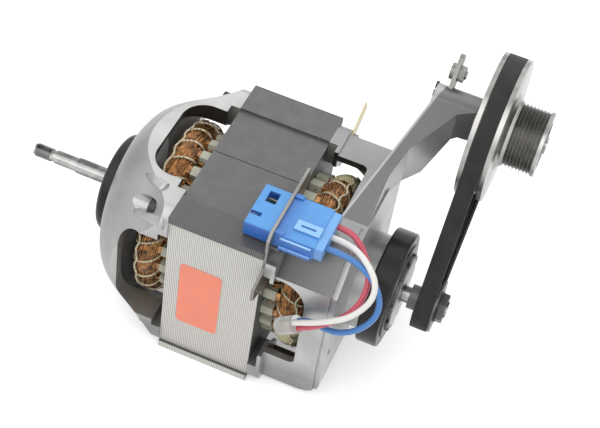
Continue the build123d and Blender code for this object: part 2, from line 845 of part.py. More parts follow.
def bearing_parts(start, bore, outside, width, ball, count, plane, axis):
    """Outer ring, inner ring, and the balls in their cage, of one ball bearing."""
    middle = start + width / 2
    pitch = (bore + outside) / 2
    land = ball * land_share
    groove = ball + ball_gap
    half = width / 2
    sweep_half = (groove**2 - land**2) ** 0.5
    rings = []
    for wall_radius, land_radius, bulge in ((outside, pitch + land, 1), (bore, pitch - land, -1)):
        with BuildPart() as ring:
            with BuildSketch(plane):
                with BuildLine():
                    Polyline(
                        (middle + sweep_half, land_radius),
                        (middle + half, land_radius),
                        (middle + half, wall_radius),
                        (middle - half, wall_radius),
                        (middle - half, land_radius),
                        (middle - sweep_half, land_radius),
                    )
                    ThreePointArc(
                        (middle - sweep_half, land_radius),
                        (middle, pitch + bulge * groove),
                        (middle + sweep_half, land_radius),
                    )
                make_face()
            revolve(axis=axis)
        rings.append(ring.part)
    centre = Plane(origin=axis.position + Vector(middle, 0, 0), x_dir=(0, 1, 0), z_dir=(1, 0, 0))
    cage_half = half - 2 * ball_gap - cage_inset
    with BuildPart() as cage:
        with BuildSketch(centre.offset(-cage_half)):
            Circle(pitch + land - cage_side_gap)
            Circle(pitch - land + cage_side_gap, mode=Mode.SUBTRACT)
        extrude(amount=2 * cage_half)
        with Locations(centre):
            with PolarLocations(pitch, count):
                Cylinder(groove, ball, rotation=(0, 90, 0), mode=Mode.SUBTRACT)
    with BuildPart() as balls:
        with Locations(centre):
            with PolarLocations(pitch, count):
                Sphere(ball)
    return rings[0], rings[1], [cage.part, balls.part]


motor_sizes = (journal_radius, motor_bearing_outer, motor_bearing_width, motor_ball_radius, motor_ball_count)
pulley_sizes = (
    pulley_bearing_bore,
    pulley_bearing_outer,
    pulley_bearing_width,
    pulley_ball_radius,
    pulley_ball_count,
)
bearing_sets = (
    ("motor", (fan_bearing_end, belt_bearing_start), motor_sizes, Plane.XY, Axis.X),
    ("pulley", (first_bearing, last_bearing), pulley_sizes, pulley_plane, pulley_axis),
)
for name, starts, sizes, plane, axis in bearing_sets:
    first_set = bearing_parts(starts[0], *sizes, plane, axis)
    last_set = bearing_parts(starts[1], *sizes, plane, axis)
    for place, kind in enumerate(("outer_rings", "inner_rings", "ball_cages")):
        with BuildPart() as bearing_piece:
            add(first_set[place])
            add(last_set[place])
        save(bearing_piece, f"{name}_bearing_{kind}")

with BuildPart() as preload_washer:
    with BuildSketch(Plane.YZ.offset(fan_bearing_end - washer_width)):
        Circle(motor_bearing_outer)
        Circle(washer_inner, mode=Mode.SUBTRACT)
    extrude(amount=washer_width)
save(preload_washer, "preload_washer")

# Rotor: laminated core and cage rings with vanes, pressed on the shaft
with BuildPart() as rotor_core:
    with BuildSketch(Plane.YZ.offset(stack_start)):
        Circle(rotor_radius)
        Circle(core_shaft_radius, mode=Mode.SUBTRACT)
    extrude(amount=stack_length)
save(rotor_core, "rotor_core")

fin_middle = (rotor_ring_inner + rotor_ring_outer) / 2
fin_height = rotor_ring_outer - rotor_ring_inner
with BuildPart() as rotor_cage_rings:
    for plane in (Plane.YZ.offset(stack_end), -Plane.YZ.offset(stack_start)):
        with BuildSketch(plane):
            Circle(rotor_ring_outer)
            Circle(rotor_ring_inner, mode=Mode.SUBTRACT)
        extrude(amount=rotor_ring_width)
        with BuildSketch(plane.offset(rotor_ring_width)):
            with PolarLocations(fin_middle, rotor_fin_count):
                Rectangle(rotor_fin_share * fin_height, rotor_fin_width)
        extrude(amount=rotor_fin_length)
save(rotor_cage_rings, "rotor_cage_rings")

# Motor shaft: thread, fan seat, plain stretch, bearing journals, core seat and belt end
thread_end = -seat_length - thread_length
thread_start = -seat_length - undercut_length
thread_count = int((thread_start - thread_end - shaft_tip_chamfer) / thread_pitch)
thread_low = seat_radius - thread_depth
shaft_outline = [(thread_end, 0), (thread_end, thread_low)]
for i in range(thread_count):
    root = thread_end + shaft_tip_chamfer + i * thread_pitch
    shaft_outline += [(root, thread_low), (root + thread_pitch / 2, seat_radius)]
shaft_outline += [
    (thread_start, thread_low),
    (-seat_length, thread_low),
    (-seat_length, seat_radius),
    (0, seat_radius),
    (0, shaft_radius),
    (fan_bearing_end - washer_width, shaft_radius),
    (fan_bearing_end - washer_width, journal_radius),
    (fan_boss_start, journal_radius),
    (fan_boss_start, core_shaft_radius),
    (belt_bearing_start, core_shaft_radius),
    (belt_bearing_start, journal_radius),
    (belt_bearing_end, journal_radius),
    (belt_bearing_end, shaft_radius),
    (shaft_end, shaft_radius),
    (shaft_end, 0),
]
with BuildPart() as motor_shaft:
    with BuildSketch(Plane.XY):
        with BuildLine():
            Polyline(*shaft_outline, close=True)
        make_face()
    revolve(axis=Axis.X)
save(motor_shaft, "motor_shaft")


def ribbed_rim(rim, start):
    """Outline points of the belt's grooves in a pulley rim, from start over the belt's width."""
    depth = belt_rib_height + groove_extra
    root_half = belt_rib_root / 2 + groove_gap
    tip_half = belt_rib_tip / 2
    points = [(start, rim)]
    for i in range(belt_ribs):
        middle = start + (i + 0.5) * belt_pitch
        points += [
            (middle - root_half, rim),
            (middle - tip_half, rim - depth),
            (middle + tip_half, rim - depth),
            (middle + root_half, rim),
        ]
    return points + [(start + belt_width, rim)]


# Belt pinion with its hub and end flange
pinion_outline = [
    (pinion_start, shaft_radius),
    (pinion_start, pinion_hub_radius),
    (pinion_start + pinion_hub_length, pinion_hub_radius),
    (pinion_start + pinion_hub_length, pinion_rim),
    *ribbed_rim(pinion_rim, belt_start),
    (belt_end + belt_side_gap, pinion_rim),
    (belt_end + belt_side_gap, pinion_flange_radius),
    (pinion_end, pinion_flange_radius),
    (pinion_end, shaft_radius),
]
with BuildPart() as motor_pinion:
    with BuildSketch(Plane.XY):
        with BuildLine():
            Polyline(*pinion_outline, close=True)
        make_face()
    revolve(axis=Axis.X)
save(motor_pinion, "motor_pinion")

with BuildPart() as pinion_washer:
    with BuildSketch(Plane.YZ.offset(pinion_end)):
        Circle(washer_radius)
        Circle(shaft_radius, mode=Mode.SUBTRACT)
    extrude(amount=flat_washer)
save(pinion_washer, "pinion_washer")

with BuildPart() as pinion_nut:
    with BuildSketch(Plane.YZ.offset(pinion_end + flat_washer)):
        RegularPolygon(nut_flats / 2, 6, major_radius=False)
        Circle(shaft_radius, mode=Mode.SUBTRACT)
    extrude(amount=nut_width)
save(pinion_nut, "pinion_nut")

# Double pulley: flanged wheel for the motor belt, flare, and small ribbed pulley for the drum belt
bore_end = pulley_end - bearing_inset - pulley_bearing_width
bore_mid = first_bearing + pulley_bearing_width
drum_points = []
for i in range(drum_groove_count):
    root = drum_start + i * drum_groove_pitch
    drum_points += [(root, drum_radius), (root + drum_groove_pitch / 2, drum_radius - drum_groove_depth)]
pulley_outline = [
    (pulley_start, pulley_bearing_outer),
    (pulley_start, web_inner),
    (pulley_start + web_depth, web_inner + web_draft),
    (pulley_start + web_depth, web_outer - web_draft),
    (pulley_start, web_outer),
    (pulley_start, pulley_flange_radius),
    (belt_start - belt_side_gap, pulley_flange_radius),
    (belt_start - belt_side_gap, pulley_rim),
    *ribbed_rim(pulley_rim, belt_start),
    (belt_end + belt_side_gap, pulley_rim),
    (belt_end + belt_side_gap, pulley_flange_radius),
    (pulley_flange_end, pulley_flange_radius),
    (pulley_flange_end, flare_radius),
    (drum_start - flare_length / 2, drum_radius + flare_step),
    *drum_points,
    (drum_end - drum_rim, drum_radius),
    (drum_end, drum_radius),
    (pulley_end, pulley_bearing_outer),
    (bore_end, pulley_bearing_outer),
    (bore_end, pulley_bore_step),
    (bore_mid, pulley_bore_step),
    (bore_mid, pulley_bearing_outer),
]
with BuildPart() as double_pulley:
    with BuildSketch(pulley_plane):
        with BuildLine():
            Polyline(*pulley_outline, close=True)
        make_face()
    revolve(axis=pulley_axis)
save(double_pulley, "double_pulley")

# Axle with its spacer, the sleeve between the bearings, and the circlip
arm_end = stack_middle + arm_block_end
axle_start = stack_middle + lug_start + lug_thickness
circlip_start = last_bearing + pulley_bearing_width
axle_end = circlip_start + circlip_width + axle_overhang
with BuildPart() as pulley_axle:
    with BuildSketch(pulley_plane):
        with BuildLine():
            Polyline(
                (axle_start, 0),
                (axle_start, pulley_bearing_bore),
                (circlip_start, pulley_bearing_bore),
                (circlip_start, pulley_bearing_bore - circlip_groove),
                (circlip_start + circlip_width, pulley_bearing_bore - circlip_groove),
                (circlip_start + circlip_width, pulley_bearing_bore),
                (axle_end, pulley_bearing_bore),
                (axle_end, 0),
                close=True,
            )
        make_face()
    revolve(axis=pulley_axis)
save(pulley_axle, "pulley_axle")

for name, start, end, outer, inner in (
    ("axle_spacer", arm_end, first_bearing, spacer_radius, pulley_bearing_bore),
    ("bearing_sleeve", bore_mid, bore_end, pulley_bearing_bore + bearing_sleeve_wall, pulley_bearing_bore),
    ("axle_circlip", circlip_start, circlip_start + circlip_width, circlip_radius,
     pulley_bearing_bore - circlip_groove),
):
    with BuildPart() as sleeve:
        with BuildSketch(Plane(origin=(start, pulley_y, pulley_z), x_dir=(0, 1, 0), z_dir=(1, 0, 0))):
            Circle(outer)
            Circle(inner, mode=Mode.SUBTRACT)
        extrude(amount=end - start)
    save(sleeve, name)

# Drive belt: a flat loop round both pulleys, hollowed by a loft that leaves its ribs standing
small_radius = pinion_rim + belt_gap
large_radius = pulley_rim + belt_gap
rib_profile = [(0, 0)]
for i in range(belt_ribs):
    middle = (i + 0.5) * belt_pitch
    rib_profile += [
        (middle - belt_rib_root / 2, 0),
        (middle - belt_rib_tip / 2, -belt_rib_height),
        (middle + belt_rib_tip / 2, -belt_rib_height),
        (middle + belt_rib_root / 2, 0),
    ]
rib_profile += [(belt_width, 0)]
with BuildPart() as belt_hollow:
    for along, height in rib_profile:
        with BuildSketch(Plane.YZ.offset(belt_start + along)):
            Circle(small_radius + height)
            with Locations((pulley_y, pulley_z)):
                Circle(large_radius + height)
            make_hull()
    loft(ruled=True)
with BuildPart() as drive_belt:
    with BuildSketch(Plane.YZ.offset(belt_start)) as outer_loop:
        Circle(small_radius + belt_back)
        with Locations((pulley_y, pulley_z)):
            Circle(large_radius + belt_back)
        make_hull()
    extrude(amount=belt_width)
    add(belt_hollow.part, mode=Mode.SUBTRACT)
save(drive_belt, "drive_belt")
print("belt loop outside", round(outer_loop.sketch.faces()[0].outer_wire().length, 1))

# Lug plate in its slot on the arm, with a bolt and nut through its free end
lug_plane = Plane.YZ.offset(lug_place)
with BuildPart() as arm_lug_plate:
    with BuildSketch(lug_plane):
        with Locations(Location((lug_low * away_y, lug_low * away_z), pulley_angle)):
            Rectangle(lug_high - lug_low, lug_width, align=(Align.MIN, Align.CENTER))
        with Locations((lug_bolt_at * away_y, lug_bolt_at * away_z)):
            Circle(lug_bolt_radius, mode=Mode.SUBTRACT)
        for i in range(arm_screw_count):
            reach = lug_low + lug_screw_inset + i * arm_screw_step
            with Locations((reach * away_y, reach * away_z)):
                Circle(arm_screw_radius, mode=Mode.SUBTRACT)
    extrude(amount=lug_thickness)
    outer_corners = arm_lug_plate.edges().filter_by(Axis.X).sort_by_distance((lug_place, 0, 0))[-2:]
    fillet(outer_corners, lug_width / 3)
save(arm_lug_plate, "arm_lug_plate")

with BuildPart() as lug_bolt:
    with BuildSketch(lug_plane.offset(-lug_head_height)):
        with Locations((lug_bolt_at * away_y, lug_bolt_at * away_z)):
            Circle(lug_head_radius)
    extrude(amount=lug_head_height)
    with BuildSketch(lug_plane):
        with Locations((lug_bolt_at * away_y, lug_bolt_at * away_z)):
            Circle(lug_bolt_radius)
    extrude(amount=lug_thickness + lug_nut_width + shaft_end_overhang)
save(lug_bolt, "lug_bolt")

with BuildPart() as lug_nut:
    with BuildSketch(lug_plane.offset(lug_thickness)):
        with Locations((lug_bolt_at * away_y, lug_bolt_at * away_z)):
            RegularPolygon(lug_nut_flats / 2, 6, major_radius=False)
            Circle(lug_bolt_radius, mode=Mode.SUBTRACT)
    extrude(amount=lug_nut_width)
save(lug_nut, "lug_nut")

with BuildPart() as arm_screws:
    for i in range(arm_screw_count):
        reach = lug_low + lug_screw_inset + i * arm_screw_step
        with BuildSketch(Plane.YZ.offset(stack_middle + arm_block_start - arm_screw_head_height)):
            with Locations((reach * away_y, reach * away_z)):
                Circle(arm_screw_head)
        extrude(amount=arm_screw_head_height)
        with BuildSketch(Plane.YZ.offset(stack_middle + arm_block_start)):
            with Locations((reach * away_y, reach * away_z)):
                Circle(arm_screw_radius)
        extrude(amount=lug_start - arm_block_start + lug_thickness + arm_screw_bite)
save(arm_screws, "arm_screws")

# Connector bracket: a plate held between the stack and the front pad, with a window for the housing
bracket_outline = [
    (bracket_back, half_height + bracket_gap),
    (bracket_back, bracket_top),
    (connector_front - bracket_cut[0], bracket_top),
    (connector_front - bracket_edge, bracket_top - bracket_cut[1]),
    (connector_front - bracket_edge, half_height - bracket_ear_top),
    (connector_front - bracket_ear_out, half_height - bracket_ear_high),
    (connector_front - bracket_ear_out, half_height - bracket_ear_low),
    (connector_front - bracket_neck[0], half_height - bracket_neck[1]),
    (connector_front - bracket_foot[0], half_height - bracket_foot[1]),
    (connector_front + bracket_foot_in, half_height - bracket_foot[1]),
    (-pad_inner_y - bracket_inner[0], pad_inner_z - bracket_inner[1]),
    (-pad_inner_y, pad_inner_z),
    (-pad_inner_y, half_height + bracket_gap),
]
housing_y = (connector_back + connector_front) / 2
housing_z = (connector_top + connector_bottom) / 2
with BuildPart() as connector_bracket:
    with BuildSketch(Plane.YZ.offset(stack_end)):
        with BuildLine():
            Polyline(*bracket_outline, close=True)
        make_face()
        with Locations((housing_y, housing_z)):
            Rectangle(
                connector_width + 2 * bracket_gap,
                connector_height + 2 * bracket_gap,
                mode=Mode.SUBTRACT,
            )
        with Locations((-tie_y, tie_z)):
            Circle(tie_radius + tie_hole_gap, mode=Mode.SUBTRACT)
        with Locations((connector_front - bracket_hole[0], half_height - bracket_hole[1])):
            Circle(bracket_hole_radius, mode=Mode.SUBTRACT)
    extrude(amount=bracket_thickness)
save(connector_bracket, "connector_bracket")

# Connector housing with its socket, latch slot, rails and raised rib
nose = stack_end - connector_nose
housing_end = stack_end + connector_middle
with BuildPart() as connector_housing:
    with BuildSketch(Plane.YZ.offset(nose)):
        with Locations((housing_y, housing_z)):
            RectangleRounded(connector_width, connector_height, connector_corner)
    extrude(amount=housing_end - nose)
    with BuildSketch(Plane.YZ.offset(nose)):
        with Locations((housing_y, housing_z)):
            Rectangle(connector_width - 2 * connector_wall, connector_height - 2 * connector_wall)
    extrude(amount=socket_depth, mode=Mode.SUBTRACT)
    # Latch slot in the top of the nose
    with BuildSketch(Plane.XY.offset(connector_top)):
        with Locations((nose + socket_depth / 2 + latch_shift, connector_back - latch_width)):
            Rectangle(latch_length, latch_width)
        with Locations((nose + socket_depth / 2 - key_slot_shift, connector_front + latch_width)):
            Rectangle(latch_length, key_slot_width)
    extrude(amount=-connector_wall, mode=Mode.SUBTRACT)
    # Raised rib with a slot on top, rails on the front and shoulders against the bracket
    with BuildSketch(Plane.XY.offset(connector_top)):
        with Locations((housing_end - top_rib_length / 2, top_rib_y)):
            Rectangle(top_rib_length, top_rib_width)
            Rectangle(top_slot_length, top_slot_width, mode=Mode.SUBTRACT)
        for side in (connector_front + shoulder_width / 2, connector_back - shoulder_width / 2):
            with Locations((bracket_end + shoulder_gap + shoulder_length / 2, side)):
                Rectangle(shoulder_length, shoulder_width)
    extrude(amount=rib_height)
    with BuildSketch(Plane.XZ.offset(-connector_front)):
        for level in (connector_bottom + rail_low, connector_top - rail_high):
            with Locations(((bracket_end + housing_end) / 2 + rail_margin, level)):
                Rectangle(housing_end - bracket_end - 4 * rail_margin, rail_height)
    extrude(amount=rail_height)
    for i in range(pin_count):
        with BuildSketch(Plane.YZ.offset(nose + socket_depth)):
            with Locations((pin_first_y - i * pin_pitch, housing_z)):
                Rectangle(pin_thickness, pin_height)
        extrude(amount=pin_embed, mode=Mode.SUBTRACT)
save(connector_housing, "connector_housing")

with BuildPart() as connector_pins:
    for i in range(pin_count):
        with BuildSketch(Plane.YZ.offset(nose + socket_depth - pin_length)):
            with Locations((pin_first_y - i * pin_pitch, housing_z)):
                Rectangle(pin_thickness, pin_height)
        extrude(amount=pin_length + pin_embed)
save(connector_pins, "connector_pins")

cover_end = housing_end + cover_length
with BuildPart() as connector_rear_cover:
    with BuildSketch(Plane.YZ.offset(housing_end)):
        with Locations((housing_y, housing_z)):
            RectangleRounded(
                connector_width - 2 * cover_step,
                connector_height - 2 * cover_step,
                connector_corner,
            )
    extrude(amount=cover_length)
    with BuildSketch(Plane.YZ.offset(cover_end)):
        for i in range(pin_count):
            with Locations((pin_first_y - i * pin_pitch, housing_z)):
                Circle(lead_diameter / 2 + lead_hole_gap)
    extrude(amount=-lead_embed, mode=Mode.SUBTRACT)
save(connector_rear_cover, "connector_rear_cover")

# Sleeve over the three leads where they enter the winding
sleeve_way = (Vector(*sleeve_end) - Vector(*sleeve_mouth)).normalized()
sleeve_plane = Plane(origin=sleeve_mouth, z_dir=sleeve_way)
with BuildPart() as lead_sleeve:
    with BuildSketch(sleeve_plane):
        Circle(sleeve_radius)
    extrude(amount=(Vector(*sleeve_end) - Vector(*sleeve_mouth)).length)
    fillet(lead_sleeve.edges().sort_by_distance(sleeve_mouth)[-1], sleeve_rounding)
    for route in (white_route, red_route, blue_route):
        way = (Vector(*route[-1]) - Vector(*route[-2])).normalized()
        with BuildSketch(Plane(origin=route[-1], z_dir=-way)):
            Circle(lead_diameter / 2 + lead_hole_gap)
        extrude(amount=2 * sleeve_radius, mode=Mode.SUBTRACT)
save(lead_sleeve, "lead_sleeve")

# Leads: round tubes along their routes, each bend as large as its two runs allow
for name, route in (("lead_white", white_route), ("lead_red", red_route), ("lead_blue", blue_route)):
    corners = [Vector(*point) for point in route]
    radii = []
    for before, corner, after in zip(corners, corners[1:], corners[2:]):
        runs = ((corner - before).length, (after - corner).length)
        half_turn = radians((corner - before).get_angle(after - corner)) / 2
        radii.append(bend_share * min(runs) * cos(half_turn) / sin(half_turn))
    with BuildPart() as lead:
        with BuildLine() as lead_line:
            FilletPolyline(*corners, radius=radii)
        lead_path = lead_line.wires()[0]
        with BuildSketch(Plane(lead_path @ 0, z_dir=lead_path % 0)):
            Circle(lead_diameter / 2)
        sweep(path=lead_path)
    save(lead, name)
    plain = pi * lead_diameter**2 / 4 * lead_path.length
    share = lead.part.volume / plain
    print(name, f"length {lead_path.length:.1f}, volume {share:.3f} of section by length")
    print(name, "radii", [round(radius, 1) for radius in radii])

# Label on the front of the stack
with BuildPart() as rating_label:
    with BuildSketch(Plane.XZ.offset(-wall_front)):
        with Locations((stack_middle + (label_start + label_end) / 2, (label_low + label_high) / 2)):
            RectangleRounded(label_end - label_start, label_high - label_low, label_corner)
    extrude(amount=label_thickness)
save(rating_label, "rating_label")

# Earth blade and its screw on the back pad
blade_plane = Plane.YZ.offset(box_start)
with BuildPart() as earth_tab:
    with BuildSketch(blade_plane):
        with Locations(Location((earth_y, earth_z), earth_blade_angle)):
            Rectangle(earth_blade_length, earth_blade_width, align=(Align.MIN, Align.CENTER))
            Circle(earth_blade_width / 2)
            Circle(earth_screw_radius, mode=Mode.SUBTRACT)
    extrude(amount=earth_blade_thickness)
save(earth_tab, "earth_tab")

head_place = box_start + earth_blade_thickness
with BuildPart() as earth_screw:
    with BuildSketch(Plane.YZ.offset(head_place)):
        with Locations((earth_y, earth_z)):
            Circle(earth_head_radius)
            RegularPolygon(earth_hex, 6, mode=Mode.SUBTRACT)
    extrude(amount=earth_head_height)
    with BuildSketch(Plane.YZ.offset(head_place + earth_head_height / 2)):
        with Locations((earth_y, earth_z)):
            Circle(earth_screw_radius)
    extrude(amount=-earth_head_height / 2 - earth_blade_thickness - earth_screw_depth)
save(earth_screw, "earth_screw")
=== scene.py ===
"""Dryer motor: looks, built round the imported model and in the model's own frame.

Lengths are in metres. Places and sizes that are multiplied by mm are in millimetres.
"""
import bpy
import json
import math
import random
from mathutils import Matrix, Vector


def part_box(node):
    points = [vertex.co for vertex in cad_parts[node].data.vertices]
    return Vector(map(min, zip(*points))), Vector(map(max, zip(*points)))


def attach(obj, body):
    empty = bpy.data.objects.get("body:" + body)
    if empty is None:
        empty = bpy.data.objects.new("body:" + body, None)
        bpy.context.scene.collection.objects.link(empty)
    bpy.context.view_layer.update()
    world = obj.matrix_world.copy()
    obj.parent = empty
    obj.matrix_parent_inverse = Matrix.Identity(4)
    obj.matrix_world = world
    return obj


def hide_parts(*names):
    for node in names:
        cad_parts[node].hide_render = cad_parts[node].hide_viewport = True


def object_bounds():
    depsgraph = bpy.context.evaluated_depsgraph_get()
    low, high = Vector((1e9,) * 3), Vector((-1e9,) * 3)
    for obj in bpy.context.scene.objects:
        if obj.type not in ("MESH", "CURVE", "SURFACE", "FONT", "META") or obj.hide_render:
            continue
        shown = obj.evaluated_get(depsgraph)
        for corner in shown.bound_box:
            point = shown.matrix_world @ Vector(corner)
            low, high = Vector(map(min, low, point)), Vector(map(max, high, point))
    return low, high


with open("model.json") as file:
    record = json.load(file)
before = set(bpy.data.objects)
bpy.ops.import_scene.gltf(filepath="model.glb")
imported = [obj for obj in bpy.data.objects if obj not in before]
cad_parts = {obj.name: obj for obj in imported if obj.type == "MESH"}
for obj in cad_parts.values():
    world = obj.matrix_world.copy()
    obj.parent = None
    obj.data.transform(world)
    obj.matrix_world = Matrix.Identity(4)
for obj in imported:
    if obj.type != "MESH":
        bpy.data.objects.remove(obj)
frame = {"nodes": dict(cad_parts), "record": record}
cad_low, cad_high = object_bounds()
nodes = frame["nodes"]
scene = bpy.context.scene
mm = 0.001


def corners(node):
    """A node's lowest and highest corner in millimetres, to a thousandth."""
    return [[round(value / mm, 3) for value in corner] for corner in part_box(node)]


# Places in the model, in millimetres; the pulley's axis is given along Y and Z
(FAN_FACE, STACK_FRONT, _), (BELT_FACE, _, STACK_TOP) = corners("stator_stack")
(_, CONNECTOR_FRONT, _), (CONNECTOR_END, _, CONNECTOR_TOP) = corners("connector_housing")
(BRACKET_FACE, _, _), _ = corners("connector_bracket")
PULLEY_AXIS = (59.0, 65.6)

# Camera: its place and its directions, fitted to points of the photograph
camera_data = bpy.data.cameras.new("camera")
camera_data.lens = 90
camera_data.sensor_width = 36
camera_data.clip_start = 0.01
camera_data.clip_end = 20
camera = bpy.data.objects.new("camera", camera_data)
scene.collection.objects.link(camera)
scene.camera = camera
camera_place = Vector((0.2368, -0.4578, 0.5425))
right = Vector((0.918, 0.378, 0.119)).normalized()
back = Vector((0.173, -0.653, 0.737)).normalized()
up = back.cross(right).normalized()
right = up.cross(back).normalized()
turn = Matrix((right, up, back)).transposed().to_4x4()
camera.matrix_world = Matrix.Translation(camera_place) @ turn


# Shader nodes
def material(name, colour, metallic, rough):
    """A principled material with its constant values on the shader's own sockets."""
    made = bpy.data.materials.new(name)
    made.use_nodes = True
    shader = made.node_tree.nodes["Principled BSDF"]
    shader.inputs["Base Color"].default_value = (*colour, 1)
    shader.inputs["Metallic"].default_value = metallic
    shader.inputs["Roughness"].default_value = rough
    return made, made.node_tree, shader


def coords(tree, shift=(0, 0, 0), turned=(0, 0, 0)):
    """Object coordinates, which are the model's own frame, shifted and turned."""
    place = tree.nodes.new("ShaderNodeTexCoord")
    mapping = tree.nodes.new("ShaderNodeMapping")
    mapping.inputs["Location"].default_value = shift
    mapping.inputs["Rotation"].default_value = turned
    tree.links.new(place.outputs["Object"], mapping.inputs["Vector"])
    return mapping.outputs["Vector"]


def parts(tree, vector):
    """A vector's parts, by the names X, Y and Z."""
    node = tree.nodes.new("ShaderNodeSeparateXYZ")
    tree.links.new(vector, node.inputs["Vector"])
    return node.outputs


def normal(tree):
    """The parts of the surface's normal."""
    return parts(tree, tree.nodes.new("ShaderNodeNewGeometry").outputs["Normal"])


def noise(tree, vector, scale, detail=4.0):
    """Noise at a scale per metre."""
    node = tree.nodes.new("ShaderNodeTexNoise")
    node.inputs["Scale"].default_value = scale
    node.inputs["Detail"].default_value = detail
    tree.links.new(vector, node.inputs["Vector"])
    return node.outputs["Fac"]


def wave(tree, vector, pitch, distortion, kind="BANDS"):
    """Bands along X or rings round it that repeat at a pitch in metres."""
    node = tree.nodes.new("ShaderNodeTexWave")
    node.wave_type = kind
    node.bands_direction = "X"
    node.rings_direction = "X"
    node.inputs["Scale"].default_value = math.pi / (10 * pitch)
    node.inputs["Distortion"].default_value = distortion
    tree.links.new(vector, node.inputs["Vector"])
    return node.outputs["Fac"]


def ramp(tree, value, stops):
    """Colours by a value: stops are (place, colour)."""
    node = tree.nodes.new("ShaderNodeValToRGB")
    elements = node.color_ramp.elements
    while len(elements) < len(stops):
        elements.new(0.5)
    for element, (place, colour) in zip(elements, stops):
        element.position = place
        element.color = (*colour, 1)
    tree.links.new(value, node.inputs["Fac"])
    return node.outputs["Color"]


def spread(tree, value, low, high):
    """A value from 0 to 1 spread between two numbers."""
    node = tree.nodes.new("ShaderNodeMapRange")
    node.inputs["To Min"].default_value = low
    node.inputs["To Max"].default_value = high
    tree.links.new(value, node.inputs["Value"])
    return node.outputs["Result"]


def limits(tree, value, none, full):
    """A share that goes from 0 to 1 between two numbers."""
    node = tree.nodes.new("ShaderNodeMapRange")
    node.inputs["From Min"].default_value = none
    node.inputs["From Max"].default_value = full
    tree.links.new(value, node.inputs["Value"])
    return node.outputs["Result"]


def edge(tree, place, ends):
    """A share that goes from 0 to 1 between two places in millimetres."""
    return limits(tree, place, ends[0] * mm, ends[1] * mm)


def maths(tree, operation, first, second=0):
    """A sum, product or the like of two values, each a socket or a number."""
    node = tree.nodes.new("ShaderNodeMath")
    node.operation = operation
    for place, value in enumerate((first, second)):
        if isinstance(value, (int, float)):
            node.inputs[place].default_value = value
        else:
            tree.links.new(value, node.inputs[place])
    return node.outputs["Value"]


def product(tree, *values):
    """Several values multiplied together."""
    total = values[0]
    for value in values[1:]:
        total = maths(tree, "MULTIPLY", total, value)
    return total


def blend(tree, share, first, second):
    """One colour turning into another by a share, each a socket or a colour."""
    node = tree.nodes.new("ShaderNodeMix")
    node.data_type = "RGBA"
    tree.links.new(share, node.inputs["Factor"])
    for name, value in (("A", first), ("B", second)):
        if isinstance(value, tuple):
            node.inputs[name].default_value = (*value, 1)
        else:
            tree.links.new(value, node.inputs[name])
    return node.outputs["Result"]


def bump(tree, shader, height, distance, strength=1.0, before=None):
    """Surface relief, a distance in metres high."""
    node = tree.nodes.new("ShaderNodeBump")
    node.inputs["Distance"].default_value = distance
    node.inputs["Strength"].default_value = strength
    tree.links.new(height, node.inputs["Height"])
    if before:
        tree.links.new(before, node.inputs["Normal"])
    tree.links.new(node.outputs["Normal"], shader.inputs["Normal"])
    return node.outputs["Normal"]


def dress(tree, shader, colour, rough):
    """Links a shader's colour and its roughness."""
    tree.links.new(colour, shader.inputs["Base Color"])
    tree.links.new(rough, shader.inputs["Roughness"])


def tone(colour, factor):
    """A colour made darker or lighter."""
    return tuple(min(1, value * factor) for value in colour)


def spots(tree, value, colour, depth=0.13):
    """A cloudy tone round one colour."""
    return ramp(tree, value, [(0.3, tone(colour, 1 - depth)), (0.7, tone(colour, 1 + depth))])


# Finishes
def plain(name, colour, metallic, rough, grain, relief, depth):
    """A moulded, cast or plated finish: mottled colour, uneven gloss and fine relief."""
    made, tree, shader = material(name, colour, metallic, rough)
    at = coords(tree)
    gloss = spread(tree, noise(tree, at, grain / 4), rough * 0.8, rough * 1.25)
    dress(tree, shader, spots(tree, noise(tree, at, grain / 12), colour, depth), gloss)
    bump(tree, shader, noise(tree, at, grain), relief)
    return made


# Stack: a stretch of its top along the front edge, painted in shade, and a strip of its front along the
# upper edge
SHADED_BEFORE = (STACK_FRONT + 15, STACK_FRONT + 14)
STRIP_ABOVE = (STACK_TOP - 4.4, STACK_TOP - 4)


def laminations(name, top, front):
    """Stacked sheets: grey flat edges, and a pale front below a darker strip, one line per sheet. The grey
    top, with painted shade along its front edge, and the pale front are painted shade and painted light on
    one material, by the way each face turns.
    """
    made, tree, shader = material(name, top, 0.3, 0.5)
    at = coords(tree)
    place, facing = parts(tree, at), normal(tree)
    lines = wave(tree, at, pitch=0.0009, distortion=0.4)
    cloud = maths(tree, "ADD", product(tree, noise(tree, at, 160), 0.7), product(tree, lines, 0.3))
    grey = ramp(tree, cloud, [(0.25, tone(top, 0.82)), (0.7, tone(top, 1.14))])
    shaded_lines = ramp(tree, lines, [(0.2, tone(top, 0.42)), (1.0, tone(top, 1.15))])
    strip = ramp(tree, lines, [(0.2, tone(top, 0.5)), (1.0, tone(top, 1.5))])
    pale = ramp(tree, lines, [(0.1, tone(front, 0.55)), (0.45, front), (1.0, tone(front, 1.12))])
    # Painted shade: along the top's front edge the sheets' lines turn darker
    above = blend(tree, product(tree, edge(tree, place["Y"], SHADED_BEFORE), 0.75), grey, shaded_lines)
    forward = blend(tree, edge(tree, place["Z"], STRIP_ABOVE), pale, strip)
    # Painted light and shade: faces turned to the front take the pale colour, faces turned up the dark grey
    colour = blend(tree, limits(tree, facing["Y"], -0.3, -0.8), above, forward)
    dress(tree, shader, colour, spread(tree, noise(tree, at, 200), 0.42, 0.6))
    bump(tree, shader, lines, 3e-5, 0.6)
    return made


